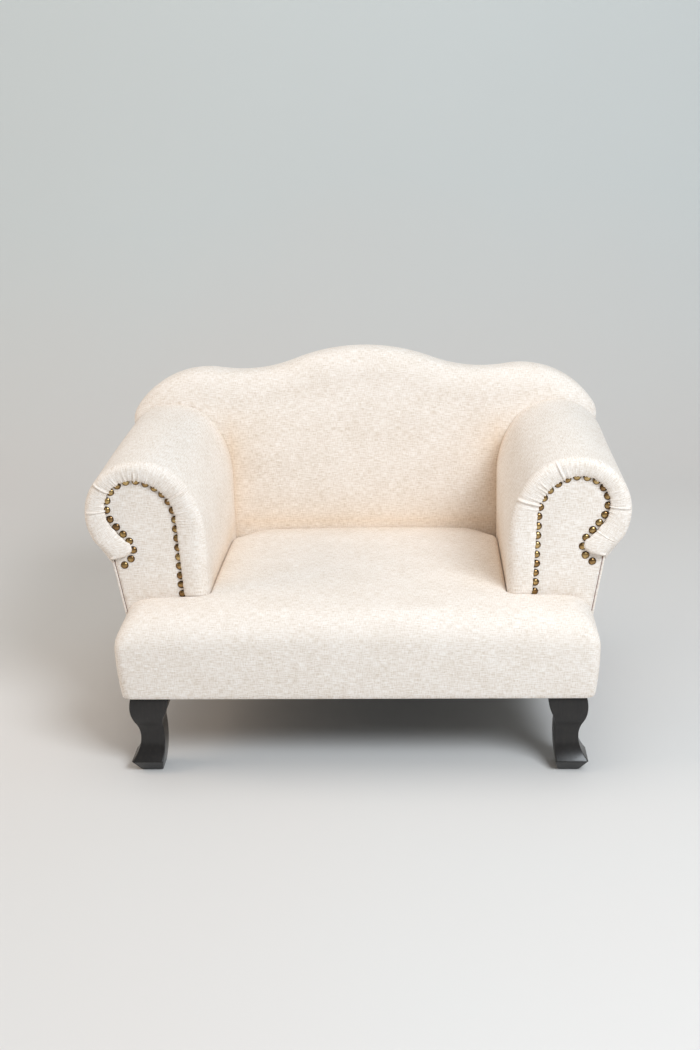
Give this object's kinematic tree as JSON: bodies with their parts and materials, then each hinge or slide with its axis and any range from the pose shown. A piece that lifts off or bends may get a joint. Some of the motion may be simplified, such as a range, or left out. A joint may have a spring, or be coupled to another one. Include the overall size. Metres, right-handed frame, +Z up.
{
  "type": "pet sofa bed",
  "caption": "Raised pet sofa bed: camel back, rolled arms with nail-head trim, tight T-shaped seat, linen-look cover and short black cabriole legs.",
  "frame": {"origin": "on the floor under the middle of the sofa's overall box", "axes": "+X across the sofa, the front faces -Y, +Z up"},
  "size_m": [0.767, 0.498, 0.5185],
  "materials": {
    "linen": "oatmeal slubby linen-look weave over wadding",
    "black_legs": "black satin lacquer",
    "nail_brass": "antique brass, aged dark in the rims",
    "hardware_steel": "zinc plated",
    "black_cloth": "black non-woven dust cloth",
    "foam": "upholstery foam",
    "plywood": "bare plywood",
    "timber": "bare softwood"
  },
  "bodies": {
    "root": {"back_bottom_rail": "timber", "back_centre_stile": "timber", "back_cover": "linen", "back_foam": "foam", "back_left_post": "timber", "back_outer_panel": "linen", "back_right_post": "timber", "back_support_board": "plywood", "back_top_rail": "timber", "centre_rail": "timber", "corner_blocks": "timber", "dust_cover": "black_cloth", "front_left_leg": "black_legs", "front_rail": "timber", "front_right_leg": "black_legs", "left_arm_bottom_rail": "timber", "left_arm_cover": "linen", "left_arm_facing": "linen", "left_arm_foam": "foam", "left_arm_front_board": "timber", "left_arm_inner_board": "plywood", "left_arm_nails": "nail_brass", "left_arm_outer_panel": "linen", "left_arm_outer_rail": "timber", "left_arm_rear_board": "timber", "left_arm_top_rail": "timber", "left_arm_welt": "linen", "left_rail": "timber", "leg_hanger_bolts": "hardware_steel", "leg_nuts": "hardware_steel", "rear_left_leg": "black_legs", "rear_rail": "timber", "rear_right_leg": "black_legs", "right_arm_bottom_rail": "timber", "right_arm_cover": "linen", "right_arm_facing": "linen", "right_arm_foam": "foam", "right_arm_front_board": "timber", "right_arm_inner_board": "plywood", "right_arm_nails": "nail_brass", "right_arm_outer_panel": "linen", "right_arm_outer_rail": "timber", "right_arm_rear_board": "timber", "right_arm_top_rail": "timber", "right_arm_welt": "linen", "right_rail": "timber", "seat_cover": "linen", "seat_deck": "plywood", "seat_foam": "foam"}
  },
  "joints": []
}
